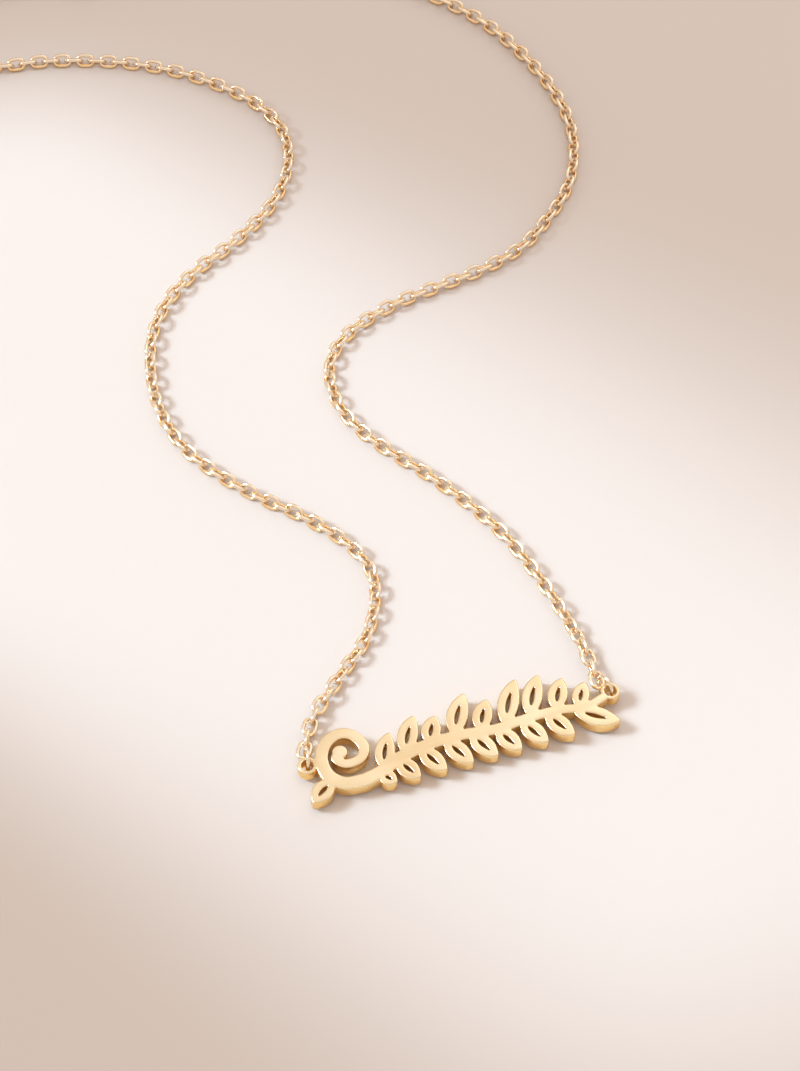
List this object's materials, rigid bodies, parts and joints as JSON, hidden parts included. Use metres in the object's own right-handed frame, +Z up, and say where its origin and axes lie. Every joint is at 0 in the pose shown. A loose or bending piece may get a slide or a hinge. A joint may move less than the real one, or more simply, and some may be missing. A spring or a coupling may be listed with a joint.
{
  "type": "nameplate necklace",
  "caption": "Necklace laid in a wavy loop on a surface: a pierced leafy plate hung at both ends by wire rings from a fine oval cable chain with a spring ring clasp.",
  "frame": {"origin": "middle of the nameplate between its two eyes, on its flat back, which hangs just above the surface", "axes": "+X along the plate from its left end to its right end, +Y across the plate towards the chain's far end and the clasp, +Z up from the surface, out of the plate's face"},
  "size_m": [0.0748, 0.1322, 0.0038],
  "materials": {
    "plate": "satin gold plate with a polished edge",
    "chain": "polished gold plate",
    "rings": "polished gold plate"
  },
  "bodies": {
    "root": {"nameplate": "plate", "jump_ring_left": "rings", "jump_ring_right": "rings", "chain_left": "chain", "chain_right": "chain", "clasp": "rings", "clasp_ring_left": "rings", "clasp_ring_right": "rings"}
  },
  "joints": []
}
